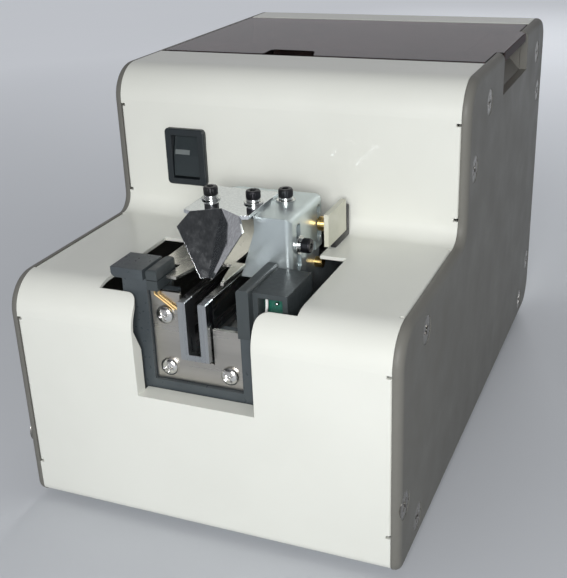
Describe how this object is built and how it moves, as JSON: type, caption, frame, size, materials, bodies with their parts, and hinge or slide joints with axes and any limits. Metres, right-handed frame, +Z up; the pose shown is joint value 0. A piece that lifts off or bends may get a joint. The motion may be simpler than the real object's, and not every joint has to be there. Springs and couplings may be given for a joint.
{
  "type": "automatic screw feeder",
  "caption": "Bench screw feeder: stepped metal case with a smoked lid, a rocker switch and a window where a vibrating rail brings screws under a V-shaped bit guide.",
  "frame": {"origin": "on the table under the centre of the part's bounding box, at the bottom of the rubber feet", "axes": "+Z up, front with the pick-up window towards -Y, +X to the right as seen from the front"},
  "size_m": [0.13, 0.214, 0.134],
  "materials": {
    "ivory_paint": "gloss paint",
    "panel_paint": "satin paint",
    "steel_plain": "brushed",
    "polished_steel": "polished",
    "zinc_plate": "bright zinc plating",
    "dark_frame": "satin dark",
    "dark_plastic": "matt",
    "black_plastic": "gloss",
    "smoked_lid": "smoked, polished",
    "rubber": "matt",
    "brass": "plain",
    "black_screws": "black oxide",
    "bright_screws": "nickel plated",
    "cream_laminate": "satin",
    "green_laminate": "satin",
    "aluminium": "satin",
    "spring_steel": "blued",
    "drum_plastic": "satin",
    "bristle": "nylon bristle",
    "bronze": "sintered"
  },
  "bodies": {
    "housing": {"front_cover": "ivory_paint", "rear_cover": "ivory_paint", "side_panel_left": "panel_paint", "side_panel_right": "panel_paint", "side_screws": "bright_screws", "base_plate": "zinc_plate", "rubber_feet": "rubber", "lid_pins": "bright_screws", "finger_scoop": "panel_paint", "switch_bezel": "dark_plastic", "spring_blocks": "aluminium", "leaf_springs": "spring_steel", "base_clamps": "zinc_plate", "pickup_frame": "dark_frame", "pickup_plate": "steel_plain", "plate_screws": "bright_screws", "light_emitters": "dark_plastic", "emitter_leads": "brass", "light_receiver": "dark_plastic", "receiver_board": "green_laminate", "inner_frame_left": "zinc_plate", "inner_frame_right": "zinc_plate", "rail_cover": "polished_steel", "cheek_screw": "black_screws", "board_spacers": "brass", "side_board": "cream_laminate", "brush_bridge": "zinc_plate", "brush_pin": "bright_screws", "hopper_tub": "steel_plain", "gear_motor": "aluminium", "motor_bracket": "zinc_plate", "bearing_stand": "zinc_plate", "drum_bush": "bronze", "drum_hood": "steel_plain", "control_board": "green_laminate", "board_standoffs": "brass", "board_components": "black_plastic", "power_inlet": "black_plastic"},
    "lid": {"lid": "smoked_lid"},
    "switch_rocker": {"switch_rocker": "dark_plastic"},
    "rail": {"pickup_block": "polished_steel", "screw_rail": "steel_plain", "rail_base": "aluminium", "rail_clamps": "zinc_plate", "vibration_motor": "aluminium", "motor_clamp": "zinc_plate"},
    "eccentric": {"vibrator_shaft": "bright_screws", "eccentric_weight": "brass"},
    "drum": {"feed_drum": "drum_plastic", "ring_gear": "drum_plastic", "drum_shaft": "bright_screws", "shaft_clip": "spring_steel"},
    "motor_pinion": {"pinion": "brass", "motor_shaft": "bright_screws"},
    "brush": {"brush_holder": "black_plastic", "brush_tufts": "bristle"},
    "guide_bracket": {"guide_bracket": "zinc_plate", "bracket_screws": "black_screws", "bracket_washers": "zinc_plate"},
    "bit_guide": {"bit_guide": "polished_steel"}
  },
  "joints": [
    {"name": "lid_hinge", "type": "hinge", "parent": "housing", "child": "lid", "pos_m": [0, 0.0823, 0.1325], "axis": [-1, 0, 0], "range_deg": [0, 100]},
    {"name": "switch_rock", "type": "hinge", "parent": "housing", "child": "switch_rocker", "pos_m": [-0.0365, -0.032, 0.10325], "axis": [1, 0, 0], "range_deg": [0, 22]},
    {"name": "rail_vibration", "type": "slide", "parent": "housing", "child": "rail", "axis": [0, 1, 0], "range_m": [-0.0004, 0.0004], "stiffness_N_per_m": 5000, "deforming": ["leaf_springs"]},
    {"name": "weight_spin", "type": "hinge", "parent": "rail", "child": "eccentric", "pos_m": [-0.002, -0.03, 0.0455], "axis": [1, 0, 0], "continuous": true},
    {"name": "drum_spin", "type": "hinge", "parent": "housing", "child": "drum", "pos_m": [-0.002, 0.08, 0.074], "axis": [0, 1, 0], "continuous": true},
    {"name": "pinion_spin", "type": "hinge", "parent": "housing", "child": "motor_pinion", "pos_m": [-0.002, 0.06, 0.0236], "axis": [0, 1, 0], "continuous": true},
    {"name": "brush_swing", "type": "hinge", "parent": "housing", "child": "brush", "pos_m": [-0.002, -0.022, 0.10403], "axis": [0, 1, 0], "range_deg": [-18, 18]},
    {"name": "guide_height", "type": "slide", "parent": "housing", "child": "guide_bracket", "axis": [0, 0, 1], "range_m": [-0.002, 0.002]},
    {"name": "guide_reach", "type": "slide", "parent": "guide_bracket", "child": "bit_guide", "axis": [0, 1, 0], "range_m": [-0.002, 0.002]}
  ],
  "couplings": [
    {"joint": "pinion_spin", "follows": "drum_spin", "ratio": -5}
  ]
}
